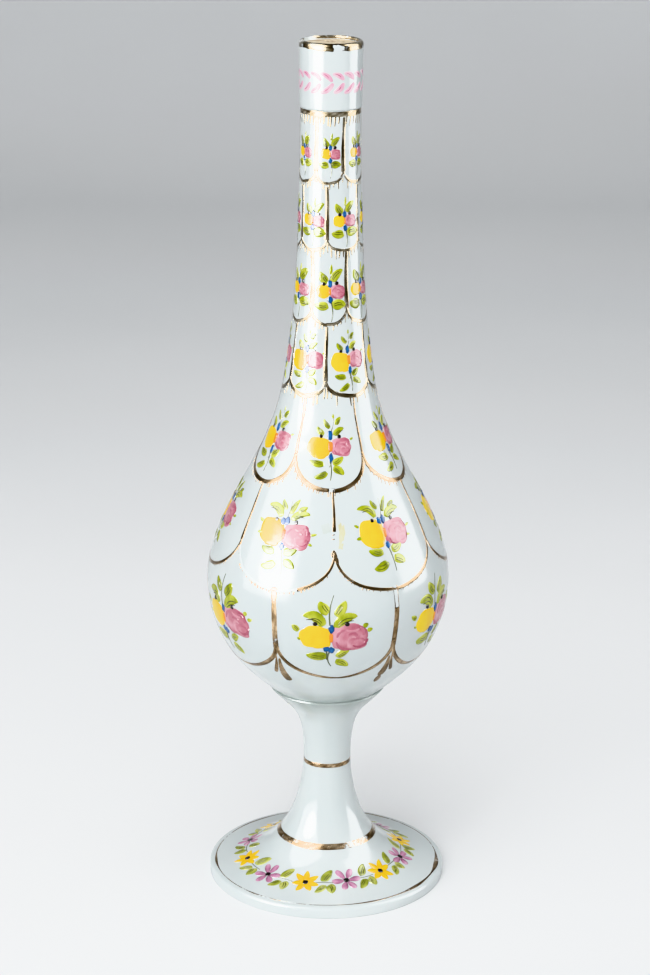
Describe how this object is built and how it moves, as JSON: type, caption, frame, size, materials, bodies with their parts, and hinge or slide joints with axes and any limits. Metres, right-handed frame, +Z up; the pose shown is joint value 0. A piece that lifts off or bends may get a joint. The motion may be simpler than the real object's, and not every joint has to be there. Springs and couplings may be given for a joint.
{
  "type": "rosewater sprinkler",
  "caption": "Footed rosewater sprinkler of opal glass: pear-shaped bulb on a flared stem and round foot, long tapering neck, collar, and a corked brass rose that lifts out.",
  "frame": {"origin": "centre of the foot's underside, on the surface that the sprinkler stands on", "axes": "+Z up along the axis of the turned glass, -Y towards the side that the picture shows, +X to the right"},
  "size_m": [0.0794, 0.0794, 0.281],
  "materials": {
    "opal_glass": "polished opal glass",
    "gilt_brass": "worn gilt",
    "cork": "cut cork"
  },
  "bodies": {
    "glass": {"foot": "opal_glass", "stem": "opal_glass", "cup": "opal_glass", "bottle": "opal_glass", "mouth_collar": "opal_glass"},
    "insert": {"rose": "gilt_brass", "ferrule": "gilt_brass", "cork_bush": "cork"}
  },
  "joints": [
    {"name": "insert_lift", "type": "slide", "parent": "glass", "child": "insert", "axis": [0, 0, 1], "range_m": [0, 0.03]}
  ]
}
